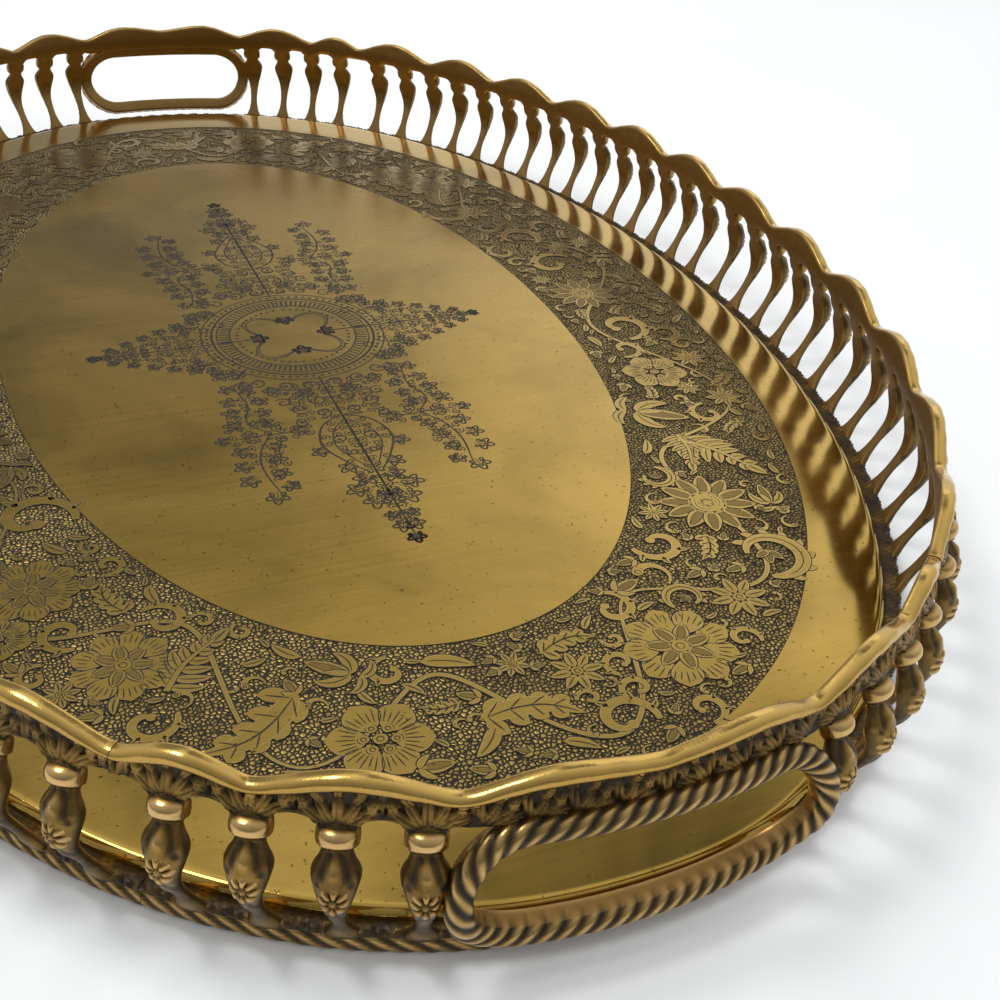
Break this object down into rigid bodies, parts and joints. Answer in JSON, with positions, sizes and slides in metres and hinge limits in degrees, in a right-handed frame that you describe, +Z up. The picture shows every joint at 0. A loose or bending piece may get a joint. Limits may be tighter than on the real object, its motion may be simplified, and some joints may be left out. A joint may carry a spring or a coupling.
{
  "type": "oval brass gallery tray",
  "caption": "Oval serving tray: flat engraved plate in a pierced, scalloped gallery of vase-shaped balusters with a roped hand hole at each end.",
  "frame": {"origin": "centre of the footprint, on the table under the base rim", "axes": "+X along the tray through one hand hole, +Y across the tray, +Z up"},
  "size_m": [0.6034, 0.4112, 0.0584],
  "materials": {
    "plate": "brushed sheet brass, etched band with dark patina",
    "gallery": "cast brass, polished on the high parts, dark patina in the hollows"
  },
  "bodies": {
    "root": {"tray_plate": "plate", "gallery_handle_near": "gallery", "gallery_handle_far": "gallery", "gallery_side_near_right": "gallery", "gallery_side_far_right": "gallery", "gallery_side_near_left": "gallery", "gallery_side_far_left": "gallery"}
  },
  "joints": []
}
